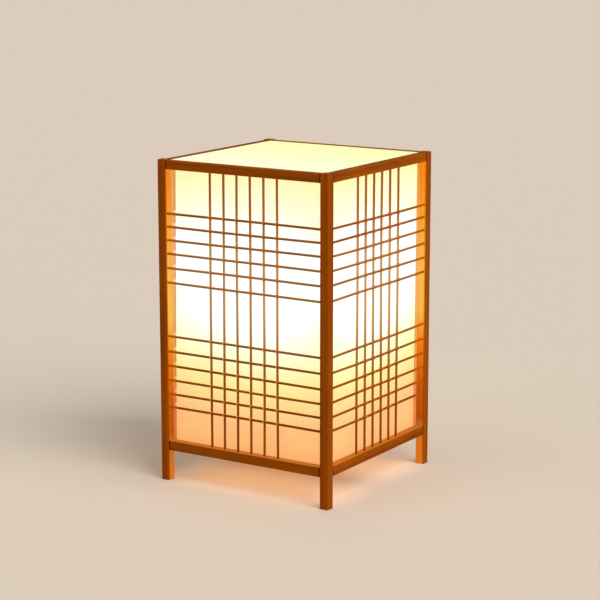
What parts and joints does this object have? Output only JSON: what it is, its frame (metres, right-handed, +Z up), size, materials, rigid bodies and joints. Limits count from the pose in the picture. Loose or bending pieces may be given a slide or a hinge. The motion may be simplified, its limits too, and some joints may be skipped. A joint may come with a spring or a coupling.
{
  "type": "bedside lamp",
  "caption": "Square bamboo bedside lamp: posts and rails hold stick lattices in front of translucent panels round a screw-in bulb.",
  "frame": {"origin": "on the floor, midway between the four legs", "axes": "+Z up, front side at -Y, +X to the right"},
  "size_m": [0.2, 0.2, 0.33],
  "materials": {
    "bamboo": "oiled carbonised bamboo, fine straight fibres",
    "bamboo_stick": "thin split bamboo sticks, plain",
    "panel_film": "translucent parchment film, lit from inside",
    "zinc_steel": "zinc plated",
    "black_plastic": "moulded, satin",
    "porcelain_white": "white insulator, glazed",
    "brass": "stamped brass",
    "cap_aluminium": "rolled aluminium",
    "bulb_housing_plastic": "white moulded plastic",
    "circuit_board": "white coated board",
    "bulb_diffuser": "opal diffuser, lit"
  },
  "bodies": {
    "lamp": {"post_front_left": "bamboo", "post_front_right": "bamboo", "post_back_right": "bamboo", "post_back_left": "bamboo", "top_rail_front": "bamboo", "top_rail_right": "bamboo", "top_rail_back": "bamboo", "top_rail_left": "bamboo", "bottom_rail_front": "bamboo", "bottom_rail_right": "bamboo", "bottom_rail_back": "bamboo", "bottom_rail_left": "bamboo", "lattice_front": "bamboo_stick", "lattice_right": "bamboo_stick", "lattice_back": "bamboo_stick", "lattice_left": "bamboo_stick", "side_panel_front": "panel_film", "side_panel_right": "panel_film", "side_panel_back": "panel_film", "side_panel_left": "panel_film", "top_panel": "panel_film", "corner_strip_front_left": "bamboo", "corner_strip_front_right": "bamboo", "corner_strip_back_right": "bamboo", "corner_strip_back_left": "bamboo", "crossbar": "bamboo", "nipple": "zinc_steel", "nipple_washer": "zinc_steel", "nipple_nut": "zinc_steel", "cord_gland": "black_plastic", "holder_cup": "black_plastic", "holder_skirt": "black_plastic", "holder_insulator": "porcelain_white", "screw_shell": "brass", "centre_contact": "brass", "terminal_screw_left": "brass", "terminal_screw_right": "brass"},
    "bulb_tip": {"bulb_tip_contact": "brass", "bulb_cap_insulator": "black_plastic"},
    "bulb": {"bulb_cap": "cap_aluminium", "bulb_housing": "bulb_housing_plastic", "led_board": "circuit_board", "driver_board": "circuit_board", "bulb_globe": "bulb_diffuser"}
  },
  "joints": [
    {"name": "bulb_lift", "type": "slide", "parent": "lamp", "child": "bulb_tip", "axis": [0, 0, 1], "range_m": [0, 0.00724]},
    {"name": "bulb_turn", "type": "hinge", "parent": "bulb_tip", "child": "bulb", "pos_m": [0, 0, 0.0741], "axis": [0, 0, 1], "range_deg": [0, 720]}
  ],
  "couplings": [
    {"joint": "bulb_lift", "follows": "bulb_turn", "m_per_rad": 0.000576}
  ]
}
